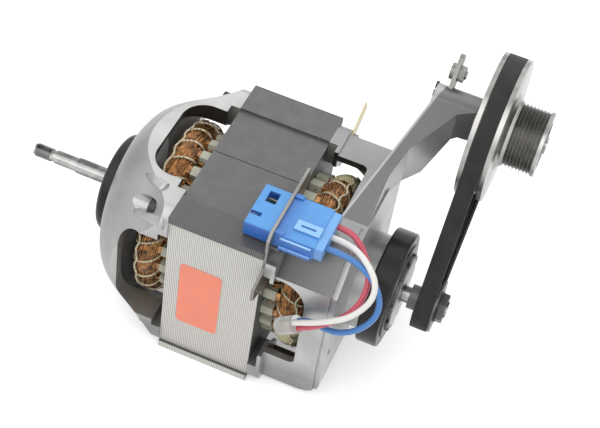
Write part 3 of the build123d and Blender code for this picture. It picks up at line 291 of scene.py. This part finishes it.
def turned_metal(name, colour, rough, centre=(0, 0), contrast=1.0):
    """Lathe-turned metal about an axis along X: fine rings, and a sheen that changes round the axis."""
    made, tree, shader = material(name, colour, 1.0, rough)
    at = coords(tree, shift=(0, -centre[0] * mm, -centre[1] * mm))
    place = parts(tree, at)
    pitch, distortion, lobes = 0.0008, 0.6, 3.0
    rings = wave(tree, at, pitch, distortion, "RINGS")
    bands = wave(tree, at, pitch, distortion)
    mottle = noise(tree, at, 150)
    around = maths(tree, "ARCTAN2", place["Z"], place["Y"])
    sheen = maths(tree, "SINE", product(tree, around, lobes))
    level = maths(tree, "ADD", product(tree, sheen, 0.3), product(tree, mottle, 0.8))
    level = maths(tree, "ADD", level, product(tree, rings, 0.2))
    tones = [(0.15, tone(colour, 0.55 ** contrast)), (0.55, colour), (0.95, tone(colour, 1.25 ** contrast))]
    dress(tree, shader, ramp(tree, level, tones), spread(tree, mottle, rough * 0.75, rough * 1.3))
    relief = bump(tree, shader, rings, 1e-5, 0.5)
    bump(tree, shader, bands, 1e-5, 0.4, relief)
    return made


# End shields, in millimetres, each pair from none to full: below the axis, where shade is painted, then the
# windows' walls, painted dark as shade
LOW = (-20, -34)
WALLS_BEYOND = (25, 27)
SIDE_WINDOWS_WITHIN = (32, 31)
SIDE_WINDOWS_ABOVE = (-22, -20)
TOP_WINDOWS_WITHIN = (27, 26)
# Where the windows begin and end along X
FAN_WINDOWS = (46, 69)
BELT_WINDOWS = (115, 137)
# Arm of the belt-side shield: its left edge, where a highlight is painted, crosses the axis at a place
# along X, and leans along Y
ARM_ABOVE = (45.6, 46)
ARM_BEYOND = (133, 134)
ARM_EDGE_X = 139.8
ARM_EDGE_LEAN = 0.272
ARM_EDGE_WIDTH = (1.2, 0.9)
SLOPE_BEFORE = (-24, -26)
SLOPE_ALONG = (117, 151)


def window_walls(tree, place, facing, first_x, last_x):
    """A share that is full on the cut walls of a shield's windows, between two places along X."""
    wide, high = maths(tree, "ABSOLUTE", place["Y"]), maths(tree, "ABSOLUTE", place["Z"])
    across, upright = maths(tree, "ABSOLUTE", facing["Y"]), maths(tree, "ABSOLUTE", facing["Z"])
    side = product(tree, edge(tree, high, SIDE_WINDOWS_WITHIN), edge(tree, place["Z"], SIDE_WINDOWS_ABOVE),
                   edge(tree, wide, WALLS_BEYOND), limits(tree, across, 0.25, 0.1))
    top = product(tree, edge(tree, place["Z"], WALLS_BEYOND), edge(tree, wide, TOP_WINDOWS_WITHIN),
                  limits(tree, upright, 0.25, 0.1))
    along = product(tree, edge(tree, place["X"], (first_x, first_x + 1)),
                    edge(tree, place["X"], (last_x + 1, last_x)))
    return product(tree, maths(tree, "MAXIMUM", side, top), along)


def arm_tones(tree, place, facing, colour, satin, shade_grey, dark):
    """The belt-side shield's arm over a casting's colour: painted light and shade by which way it faces, a
    painted highlight on its left edge and painted shade on the slope in front.
    """
    arm = product(tree, edge(tree, place["Z"], ARM_ABOVE), edge(tree, place["X"], ARM_BEYOND))
    # Painted light and shade on the arm: darker or lighter by which way along X it faces
    crosswise = ramp(tree, facing["X"], [(0.0, tone(shade_grey, 0.62)), (0.8, tone(shade_grey, 1.9))])
    colour = blend(tree, arm, colour, crosswise)
    # The left edge, a painted highlight, runs from the arm's root on the deck out to its block
    inwards = maths(tree, "SUBTRACT", maths(tree, "SUBTRACT", place["X"], ARM_EDGE_X * mm),
                    product(tree, place["Y"], ARM_EDGE_LEAN))
    colour = blend(tree, product(tree, edge(tree, inwards, ARM_EDGE_WIDTH), arm), colour, satin)
    # Painted shade on the slope in front, lightening along X to a painted highlight at its right end
    slope = product(tree, limits(tree, facing["Y"], -0.3, -0.4), edge(tree, place["Y"], SLOPE_BEFORE),
                    limits(tree, facing["Z"], 0.95, 0.9), limits(tree, facing["Z"], 0.3, 0.4))
    shade = [(0.0, dark), (0.9, tone(dark, 3)), (1.0, satin)]
    return blend(tree, slope, colour, ramp(tree, edge(tree, place["X"], SLOPE_ALONG), shade))


def cast_finish(name, windows, satin, shade_grey, with_arm=False):
    """A casting: satin, with painted light and shade: lighter towards the light and darker away from it,
    darker low down, and dark in its window walls.
    """
    made, tree, shader = material(name, satin, 0.7, 0.36)
    at = coords(tree)
    place, facing = parts(tree, at), normal(tree)
    dark = (0.045, 0.045, 0.045)
    cloud = noise(tree, at, 60)
    # Painted light and shade: a lighter and a darker copy of the satin colour, by which way along X a face
    # turns
    away = limits(tree, facing["X"], -0.25, -0.85)
    colour = blend(tree, away, spots(tree, cloud, tone(satin, 1.2)), spots(tree, cloud, tone(satin, 0.66)))
    # Painted shade low down, below the axis, on faces not turned along X
    low = product(tree, edge(tree, place["Z"], LOW), limits(tree, facing["X"], 0.9, 0.6))
    shade_spots = spots(tree, cloud, shade_grey)
    colour = blend(tree, product(tree, low, spread(tree, low, 0.6, 0.8)), colour, shade_spots)
    if with_arm:
        # Painted shade on faces turned upward
        colour = blend(tree, limits(tree, facing["Z"], 0.75, 0.95), colour, shade_spots)
        colour = arm_tones(tree, place, facing, colour, satin, shade_grey, dark)
    # Painted shade: the windows' cut walls are dark
    colour = blend(tree, window_walls(tree, place, facing, *windows), colour, dark)
    dress(tree, shader, colour, spread(tree, noise(tree, at, 170), 0.3, 0.42))
    bump(tree, shader, noise(tree, at, 900), 6e-5)
    return made


# Connector, from the bracket's face and its own corners, each pair from none to full
BESIDE_BEFORE = (BRACKET_FACE + 10.5, BRACKET_FACE + 2)
BESIDE_BEYOND = (BRACKET_FACE + 0.5, BRACKET_FACE + 1)
RAILS_BEFORE = (CONNECTOR_FRONT + 1.15, CONNECTOR_FRONT + 1)
RIB_ABOVE = (CONNECTOR_TOP - 0.8, CONNECTOR_TOP - 0.4)
RIB_BEYOND = (BRACKET_FACE + 7.1, BRACKET_FACE + 7.7)
COVER_BEYOND = (CONNECTOR_END - 0.05, CONNECTOR_END + 0.1)
INSIDE_BELOW = (CONNECTOR_TOP - 1.3, CONNECTOR_TOP - 1.7)
INSIDE_BEFORE = (BRACKET_FACE + 0.5, BRACKET_FACE - 0.5)


def connector_finish(name, base, shade_blue, pale_blue):
    """Moulded plastic: painted shade beside the bracket, inside and on faces turned to the front, a painted
    highlight on the rails, and paler on the rib and the cover.
    """
    made, tree, shader = material(name, base, 0.0, 0.3)
    at = coords(tree)
    place, facing = parts(tree, at), normal(tree)
    upper = limits(tree, facing["Z"], 0.5, 0.8)
    beside = product(tree, edge(tree, place["X"], BESIDE_BEFORE), edge(tree, place["X"], BESIDE_BEYOND))
    front = limits(tree, facing["Y"], -0.5, -0.9)
    rails = edge(tree, place["Y"], RAILS_BEFORE)
    rib = product(tree, edge(tree, place["Z"], RIB_ABOVE), edge(tree, place["X"], RIB_BEYOND))
    cover = edge(tree, place["X"], COVER_BEYOND)
    inside = product(tree, edge(tree, place["Z"], INSIDE_BELOW), edge(tree, place["X"], INSIDE_BEFORE))
    colour = spots(tree, noise(tree, at, 45), base, 0.12)
    # Painted shade on upward faces beside the bracket
    colour = blend(tree, product(tree, upper, beside, 0.75), colour, shade_blue)
    # Painted shade on faces turned to the front
    colour = blend(tree, product(tree, front, 0.8), colour, shade_blue)
    # Painted highlight on the rails; the rib and the cover are paler too
    colour = blend(tree, product(tree, upper, rails), colour, pale_blue)
    colour = blend(tree, product(tree, rib, 0.7), colour, pale_blue)
    colour = blend(tree, product(tree, cover, 0.3), colour, pale_blue)
    # Painted shade inside, below the top and before the bracket's face
    colour = blend(tree, product(tree, inside, 0.5), colour, shade_blue)
    dress(tree, shader, colour, spread(tree, noise(tree, at, 160), 0.24, 0.42))
    bump(tree, shader, noise(tree, at, 500), 1.5e-5)
    return made


def wire_finish(name, dark, light):
    """Varnished wire: colour varies along and between the wires."""
    made, tree, shader = material(name, light, 0.7, 0.33)
    at = coords(tree)
    cloud = noise(tree, at, 420, detail=3)
    tree.links.new(ramp(tree, cloud, [(0.32, dark), (0.66, light)]), shader.inputs["Base Color"])
    shader.inputs["Coat Weight"].default_value = 0.35
    shader.inputs["Coat Roughness"].default_value = 0.25
    bump(tree, shader, noise(tree, at, 2500), 2e-5)
    return made


def twisted(name, dark, light):
    """Twisted cord: short slanted strands, matte."""
    made, tree, shader = material(name, light, 0.0, 0.85)
    twists = wave(tree, coords(tree, turned=(0.5, 0.4, 0.7)), pitch=0.0009, distortion=2.0)
    tree.links.new(ramp(tree, twists, [(0.2, dark), (0.6, light)]), shader.inputs["Base Color"])
    bump(tree, shader, twists, 8e-5)
    return made


def clear_finish(name, colour):
    """A translucent tube with an uneven surface."""
    made, tree, shader = material(name, colour, 0.0, 0.3)
    shader.inputs["Transmission Weight"].default_value = 0.8
    shader.inputs["IOR"].default_value = 1.4
    bump(tree, shader, noise(tree, coords(tree), 300), 3e-5)
    return made


# Plain finishes: colour, metallic, roughness, grain per metre, relief in metres and depth of the mottling
PLAIN = {
    "plated_steel": ((0.225, 0.225, 0.215), 0.75, 0.36, 500, 1e-5, 0.25),
    "ring_rubber": ((0.014, 0.014, 0.015), 0.0, 0.28, 900, 4e-5, 0.3),
    "belt_rubber": ((0.022, 0.021, 0.020), 0.0, 0.55, 1400, 6e-5, 0.25),
    "white_insulation": ((0.72, 0.70, 0.67), 0.0, 0.33, 700, 1e-5, 0.04),
    "red_insulation": ((0.52, 0.075, 0.11), 0.0, 0.33, 700, 1e-5, 0.08),
    "blue_insulation": ((0.055, 0.19, 0.48), 0.0, 0.33, 700, 1e-5, 0.08),
    "spacer_brass": ((0.42, 0.36, 0.22), 1.0, 0.3, 500, 1e-5, 0.1),
    "liner_paper": ((0.40, 0.40, 0.32), 0.0, 0.7, 1500, 4e-5, 0.15),
    "salmon_label": ((0.80, 0.235, 0.15), 0.0, 0.45, 900, 1e-5, 0.04),
    "bearing_steel": ((0.45, 0.45, 0.46), 1.0, 0.18, 400, 5e-6, 0.06),
    "dark_oxide": ((0.045, 0.044, 0.042), 0.85, 0.34, 600, 1e-5, 0.4),
    "worn_steel": ((0.115, 0.113, 0.108), 0.8, 0.36, 500, 1e-5, 0.35),
}
finishes = {}


def add(make, name, *values, **more):
    """Makes a finish and keeps it under its name."""
    finishes[name] = make(name, *values, **more)


for name, values in PLAIN.items():
    add(plain, name, *values)
for name in ("ring_rubber", "belt_rubber"):
    rubber = finishes[name].node_tree.nodes["Principled BSDF"]
    rubber.inputs["Specular IOR Level"].default_value = 0.22
add(cast_finish, "cast_aluminium", FAN_WINDOWS, (0.32, 0.32, 0.315), (0.20, 0.20, 0.20))
add(cast_finish, "cast_with_arm", BELT_WINDOWS, (0.36, 0.36, 0.355), (0.235, 0.235, 0.24), with_arm=True)
add(connector_finish, "blue_plastic", (0.075, 0.29, 0.66), (0.025, 0.11, 0.42), (0.33, 0.57, 0.84))
add(turned_metal, "shaft_steel", (0.30, 0.295, 0.29), 0.2, contrast=2.2)
add(turned_metal, "turned_aluminium", (0.34, 0.335, 0.325), 0.28, centre=PULLEY_AXIS)
add(laminations, "laminations", (0.11, 0.11, 0.112), (0.56, 0.55, 0.52))
add(wire_finish, "copper", (0.055, 0.022, 0.008), (0.50, 0.235, 0.070))
add(twisted, "lacing_cord", (0.33, 0.28, 0.18), (0.66, 0.58, 0.41))
add(twisted, "wrap_thread", (0.27, 0.25, 0.13), (0.60, 0.56, 0.36))
add(clear_finish, "clear_sleeve", (0.86, 0.87, 0.85))

# Each node shows the finish of its slot, apart from those with a finish of their own
OWN_FINISH = {
    "belt_end_shield": "cast_with_arm", "pinion_washer": "dark_oxide", "tie_screws": "dark_oxide",
    "arm_screws": "dark_oxide", "ring_retainer_disc": "worn_steel", "toothed_lock_ring": "worn_steel",
    "motor_pinion": "worn_steel", "pinion_nut": "worn_steel",
}
for part in frame["record"]["subparts"]:
    finish = finishes[OWN_FINISH.get(part["node"], part["material_slot"])]
    mesh = nodes[part["node"]].data
    mesh.materials.clear()
    mesh.materials.append(finish)


# Cords and small forms
def shown(name, data, finish):
    """A new object in the scene, with its finish."""
    obj = bpy.data.objects.new(name, data)
    scene.collection.objects.link(obj)
    data.materials.append(finish)
    return obj


def cords(name, paths, radius, finish, order, sides, resolution):
    """Round cords as one curve object: a path's points, in metres, are the control points of its spline."""
    curve = bpy.data.curves.new(name, "CURVE")
    curve.dimensions = "3D"
    for path in paths:
        spline = curve.splines.new("NURBS")
        spline.points.add(len(path) - 1)
        for target, point in zip(spline.points, path):
            target.co = (*point, 1)
        spline.order_u = order
        spline.use_endpoint_u = True
    curve.resolution_u = resolution
    curve.bevel_depth = radius
    curve.bevel_resolution = sides
    curve.use_fill_caps = True
    return shown(name, curve, finish)


# Leads: their routes in millimetres, the same points as in the part's source
WHITE = [
    (138.5, -29.0, 51.8), (145.5, -29.0, 51.8), (152.8, -32.3, 53.2), (159.8, -37.3, 52.6),
    (165.5, -42.3, 49.7), (166.8, -47.2, 44.6), (163.8, -50.8, 38.9), (158.8, -54.2, 34.0),
    (151.2, -55.0, 28.2), (143.5, -54.0, 21.6), (136.47, -51.74, 15.03), (132.78, -50.78, 11.07),
]
RED = [
    (138.5, -22.0, 51.8), (145.5, -22.0, 51.8), (151.5, -25.5, 50.8), (156.5, -30.0, 48.6),
    (160.3, -35.5, 46.2), (162.3, -41.3, 42.5), (161.5, -46.5, 36.8), (157.5, -50.2, 30.3),
    (151.2, -52.0, 23.6), (144.5, -52.5, 17.5), (139.03, -51.74, 12.65), (135.34, -50.78, 8.69),
]
BLUE = [
    (138.5, -36.0, 51.8), (146.0, -36.0, 51.8), (154.3, -36.8, 51.0), (161.8, -39.0, 48.5),
    (167.7, -42.8, 44.9), (170.7, -46.9, 39.6), (169.1, -50.2, 32.8), (163.4, -52.0, 25.2),
    (156.0, -52.0, 19.3), (149.1, -50.4, 16.6), (142.95, -49.0, 16.3), (138.09, -48.88, 14.21),
    (134.40, -47.92, 10.25),
]
LEAD_DIAMETER = 0.0028
for colour, points, length in (("white", WHITE, 0.0885), ("red", RED, 0.0823), ("blue", BLUE, 0.0899)):
    route = [tuple(value * mm for value in point) for point in points]
    insulation = finishes[colour + "_insulation"]
    lead = cords("lead_" + colour + "_cord", [route], LEAD_DIAMETER / 2, insulation,
                 order=3, sides=6, resolution=10)
    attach(lead, "housing")
    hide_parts("lead_" + colour)


# Lugs beside the fan shield's front leg, in millimetres
def lug(name, tip, root, out, width, height):
    """A cast tongue that rises out of the dome towards the stack, on the line from its tip to its root."""
    tip, root, out = Vector(tip), Vector(root), Vector(out).normalized()
    side = (root - tip).cross(out).normalized()
    rows, across, sunk, tip_width, roundness = 10, 9, 1.2, 0.35, 0.6
    points, faces = [], []
    for row in range(rows + 1):
        share = row / rows
        middle = tip.lerp(root, share) - sunk * out
        half = width * (tip_width + (1 - tip_width) * math.sqrt(share)) / 2
        rise = sunk + height * min(1, 2.2 * share) ** 0.8
        for place in range(across + 1):
            angle = math.pi * place / across
            bulge = math.copysign(abs(math.cos(angle)) ** roundness, math.cos(angle))
            points.append((middle + side * half * bulge + out * rise * math.sin(angle) ** roundness) * mm)
    wide = across + 1
    for row in range(rows):
        for place in range(across):
            first = row * wide + place
            faces.append((first, first + 1, first + wide + 1, first + wide))
        faces.append((row * wide + across, row * wide, (row + 1) * wide, (row + 1) * wide + across))
    faces.append(tuple(reversed(range(wide))))
    faces.append(tuple(range(rows * wide, (rows + 1) * wide)))
    mesh = bpy.data.meshes.new(name)
    mesh.from_pydata(points, [], faces)
    for face in mesh.polygons:
        face.use_smooth = True
    obj = shown(name, mesh, finishes["cast_aluminium"])
    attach(obj, "housing")


lug("fan_leg_lug_upper", tip=(48.6, -27.6, 44.8), root=(60.5, -33.6, 47.0), out=(-0.2, -0.35, 0.9),
    width=5.5, height=1.5)
lug("fan_leg_lug_lower", tip=(49.4, -41.3, 33.2), root=(67.0, -47.2, 40.5), out=(-0.15, -0.8, 0.58),
    width=6.5, height=1.9)

# End windings: coils of fine wire from slot to slot, tied with lacing cord, in millimetres
SLOTS = 24
WIRES = 26
WIRE_RADIUS = 0.34
LACE_RADIUS = 0.5
THREAD_RADIUS = 0.42
# The middle of the ring's section, out from the stack's face and off the shaft's axis
RING_REACH = 13.3
RING_RADIUS = 36.5
# How far from the middle of that section wires, loops, running strand and thread lie
WIRE_OUT = 5.75
LOOP_OUT = 6.95
RUNNING_OUT = 7.35
THREAD_OUT = 7.0
# Beside its slots a wire's points stand at these shares of its span, and this far out from the face
LEAVING = ((0.0, 3.0), (0.012, 5.8))
ENTERING = ((0.988, 5.8), (1.0, 3.0))


def ring_point(face_x, side, around, angle, out):
    """A point on the end winding's ring: around the shaft, then round its section."""
    along = face_x + side * (RING_REACH + out * math.sin(angle))
    radius = RING_RADIUS + out * math.cos(angle)
    return Vector((along, radius * math.cos(around), radius * math.sin(around))) * mm


def slot_point(face_x, side, around, out, drop):
    """A point of a wire beside its slot: out from the stack's face, and a drop from the shaft's axis."""
    return Vector((face_x + side * out, drop * math.cos(around), drop * math.sin(around))) * mm


def end_winding(name, face_x, side, seed):
    """Wires of the coils: each leaves one slot, crosses the ring on a slant and enters another."""
    dice = random.Random(seed)
    paths = []
    for slot in range(SLOTS):
        start = math.radians(360 / SLOTS * slot)
        tilt = dice.uniform(-0.25, 0.25)
        for wire in range(WIRES):
            share = wire / (WIRES - 1)
            angle = -2.4 + 4.9 * share + dice.uniform(-0.12, 0.12)
            out = WIRE_OUT + dice.uniform(-0.25, 0.6)
            span = math.radians(dice.uniform(60, 70))
            drop = 33.5 + 5.5 * share
            path = []
            for reach, beyond in LEAVING:
                around = start + span * reach + math.radians(dice.uniform(-1.4, 1.4))
                path.append(slot_point(face_x, side, around, beyond, drop))
            for step in range(9):
                reach = 0.1 + 0.1 * step
                slant = angle + tilt + 0.9 * (reach - 0.5) + dice.uniform(-0.05, 0.05)
                path.append(ring_point(face_x, side, start + span * reach, slant, out))
            for reach, beyond in ENTERING:
                around = start + span * reach + math.radians(dice.uniform(-1.4, 1.4))
                path.append(slot_point(face_x, side, around, beyond, drop))
            paths.append(path)
    return cords(name, paths, WIRE_RADIUS * mm, finishes["copper"], order=4, sides=0, resolution=2)


def lacing_cord(name, face_x, side, seed):
    """Lacing: loops round the ring, joined by a running strand with a hitch at each loop."""
    dice = random.Random(seed)
    per_loop, per_hitch = 10, 4
    helix = []
    for step in range((SLOTS - 1) * per_loop + 1):
        turn = step / per_loop
        slack = 0.25 * math.sin(2.3 * turn) + dice.uniform(-0.1, 0.1)
        lean = 0.09 * math.sin(2 * math.pi * turn)
        around = 2 * math.pi * (turn + 0.25 + lean) / SLOTS + math.pi / SLOTS
        helix.append(ring_point(face_x, side, around, 2 * math.pi * turn, LOOP_OUT + 0.3 * slack))
    running = []
    for step in range(SLOTS * per_hitch + 1):
        around = 2 * math.pi * step / (SLOTS * per_hitch)
        hitch = 0.175 * math.sin(around * SLOTS)
        angle = 0.55 + hitch + dice.uniform(-0.05, 0.05)
        running.append(ring_point(face_x, side, around, angle, RUNNING_OUT))
    lacing = finishes["lacing_cord"]
    return cords(name, [helix, running], LACE_RADIUS * mm, lacing, order=4, sides=2, resolution=3)


def thread_wrap(name, face_x, side, first, last, seed):
    """Pale thread wound closely round a stretch of the ring, from one angle to another in degrees."""
    dice = random.Random(seed)
    per_turn, turns = 8, int((last - first) * 0.72)
    path = []
    for step in range(turns * per_turn + 1):
        turn = step / per_turn
        around = math.radians(first + (last - first) * turn / turns + dice.uniform(-0.35, 0.35))
        out = THREAD_OUT + dice.uniform(-0.1, 0.15)
        path.append(ring_point(face_x, side, around, 2 * math.pi * turn, out))
    return cords(name, [path], THREAD_RADIUS * mm, finishes["wrap_thread"], order=4, sides=1, resolution=2)


# The stretches wrapped with thread, in degrees round the shaft
WRAPS = ((24, 66), (188, 226))
for number, (first, last) in enumerate(WRAPS):
    wrap = thread_wrap("belt_side_wrap_" + str(number + 1), BELT_FACE, 1, first, last, 20 + number)
    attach(wrap, "housing")

for place, face_x, side, seed in (("fan", FAN_FACE, -1, 3), ("belt", BELT_FACE, 1, 8)):
    coils = end_winding(place + "_side_coils", face_x, side, seed)
    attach(coils, "housing")
    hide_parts(place + "_side_winding")
    ties = lacing_cord(place + "_side_ties", face_x, side, seed + 1)
    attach(ties, "housing")
    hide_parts(place + "_side_lacing")


# Floor and backdrop: white to the camera and in reflections, plain pale to the light
def seen(tree, plain_level, shown_level):
    """One level for light, another for what the camera, metal and glass see."""
    ray = tree.nodes.new("ShaderNodeLightPath").outputs
    shown_rays = maths(tree, "MAXIMUM", ray["Is Camera Ray"], ray["Is Glossy Ray"])
    shown_rays = maths(tree, "MAXIMUM", shown_rays, ray["Is Transmission Ray"])
    return spread(tree, shown_rays, plain_level, shown_level)


def floor(level, reach):
    """A square floor at a level, both in metres."""
    square = ((-reach, -reach), (reach, -reach), (reach, reach), (-reach, reach))
    mesh = bpy.data.meshes.new("floor")
    mesh.from_pydata([(x, y, level) for x, y in square], [], [(0, 1, 2, 3)])
    pale, tree, shader = material("pale_floor", (0.86, 0.86, 0.86), 0.0, 0.9)
    shader.inputs["Emission Color"].default_value = (1, 1, 1, 1)
    tree.links.new(seen(tree, 0.0, 0.35), shader.inputs["Emission Strength"])
    shown("floor", mesh, pale)


def backdrop():
    """A white world."""
    world = bpy.data.worlds.new("world")
    world.use_nodes = True
    background = world.node_tree.nodes["Background"]
    background.inputs["Color"].default_value = (1, 1, 1, 1)
    world.node_tree.links.new(seen(world.node_tree, 0.5, 1.0), background.inputs["Strength"])
    scene.world = world


def lamp(name, place, aim, size, power):
    """A large soft lamp."""
    data = bpy.data.lights.new(name, "AREA")
    data.shape = "RECTANGLE"
    data.size, data.size_y = size
    data.energy = power
    obj = bpy.data.objects.new(name, data)
    obj.location = place
    obj.rotation_mode = "QUATERNION"
    obj.rotation_quaternion = (Vector(aim) - Vector(place)).to_track_quat("-Z", "Y")
    scene.collection.objects.link(obj)


floor(level=cad_low[2] - 0.1 * mm, reach=3)
backdrop()
lamp("key", place=(-0.5, -0.7, 1.1), aim=(0.1, 0, 0), size=(2.2, 1.8), power=15)
lamp("fill", place=(0.9, -0.5, 0.8), aim=(0.1, 0, 0), size=(2.0, 2.0), power=7)
lamp("rim", place=(0.1, 0.9, 0.9), aim=(0.1, 0, 0.02), size=(2.2, 1.2), power=8)
scene.view_settings.view_transform = "Standard"
